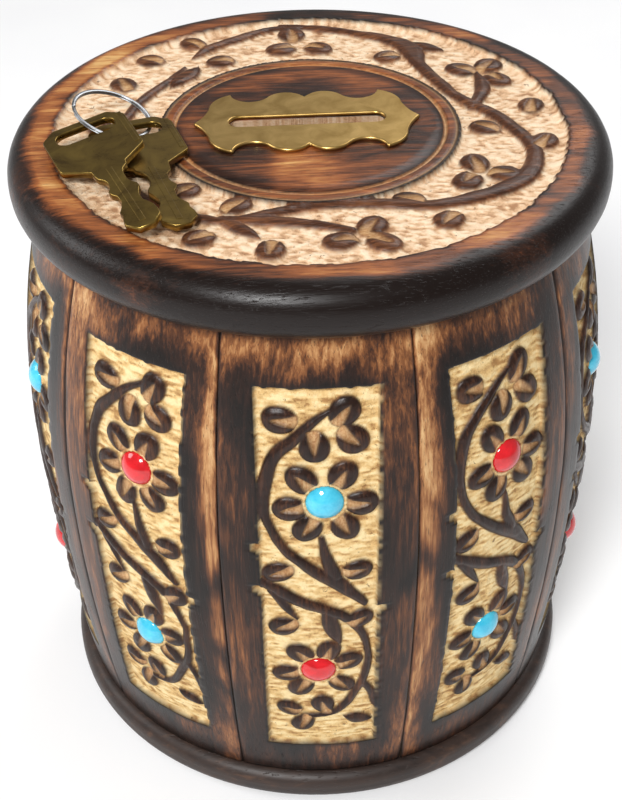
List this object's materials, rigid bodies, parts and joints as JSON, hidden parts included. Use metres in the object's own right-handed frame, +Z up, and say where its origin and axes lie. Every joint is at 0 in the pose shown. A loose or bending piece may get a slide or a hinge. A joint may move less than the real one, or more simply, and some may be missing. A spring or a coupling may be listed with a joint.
{
  "type": "money box",
  "caption": "Round carved wooden money box with a brass-plated coin slot in the lid, glass bead inlays, a locked hatch in the base, and keys on a ring.",
  "frame": {"origin": "centre of the base, on the surface that the box stands on", "axes": "+Z up through the lid, X along the coin slot, -Y the front, with the keys on the lid at -X"},
  "size_m": [0.1356, 0.1356, 0.156],
  "materials": {
    "stave_wood": "burnt and waxed, carved ground pale",
    "lid_wood": "burnt and waxed, carved ground pale",
    "base_wood": "dark, satin",
    "board_wood": "plain, unfinished",
    "aged_brass": "aged, satin",
    "key_brass": "dull, handled",
    "steel": "bright",
    "turquoise_glass": "opaque, glossy",
    "red_glass": "opaque, glossy"
  },
  "bodies": {
    "root": {"base_ring": "base_wood", "floor_board": "board_wood", "base_screws": "steel", "stave_01": "stave_wood", "stave_02": "stave_wood", "stave_03": "stave_wood", "stave_04": "stave_wood", "stave_05": "stave_wood", "stave_06": "stave_wood", "stave_07": "stave_wood", "stave_08": "stave_wood", "stave_09": "stave_wood", "stave_10": "stave_wood", "lid": "lid_wood", "slot_plate": "aged_brass", "turquoise_cabochons": "turquoise_glass", "red_cabochons": "red_glass", "hinge_leaf_fixed": "aged_brass", "hinge_pin": "steel", "hinge_screws_fixed": "steel"},
    "door": {"access_door": "board_wood", "hinge_leaf_door": "aged_brass", "hinge_screws_door": "steel", "lock_housing": "steel", "lock_washer": "steel", "lock_nut": "steel"},
    "lock_core": {"lock_plug": "aged_brass", "lock_wafers": "aged_brass", "lock_cam": "steel", "cam_screw": "steel"},
    "key_ring": {"key_ring": "steel"},
    "key_1": {"key_1": "key_brass"},
    "key_2": {"key_2": "key_brass"}
  },
  "joints": [
    {"name": "door_hinge", "type": "hinge", "parent": "root", "child": "door", "pos_m": [0, 0.03475, 0.0015], "axis": [1, 0, 0], "range_deg": [0, 110]},
    {"name": "lock_turn", "type": "hinge", "parent": "door", "child": "lock_core", "pos_m": [0, -0.0145, 0.008], "axis": [0, 0, 1], "range_deg": [0, 90]},
    {"name": "keys_lift", "type": "slide", "parent": "root", "child": "key_ring", "axis": [0, 0, 1], "range_m": [0, 0.06]},
    {"name": "key_1_swivel", "type": "hinge", "parent": "key_ring", "child": "key_1", "pos_m": [-0.04486, -0.00686, 0.15376], "axis": [0, 0, 1], "range_deg": [-15, 0]},
    {"name": "key_2_swivel", "type": "hinge", "parent": "key_ring", "child": "key_2", "pos_m": [-0.03916, -0.00661, 0.15164], "axis": [0, 0, 1], "range_deg": [0, 10]}
  ]
}
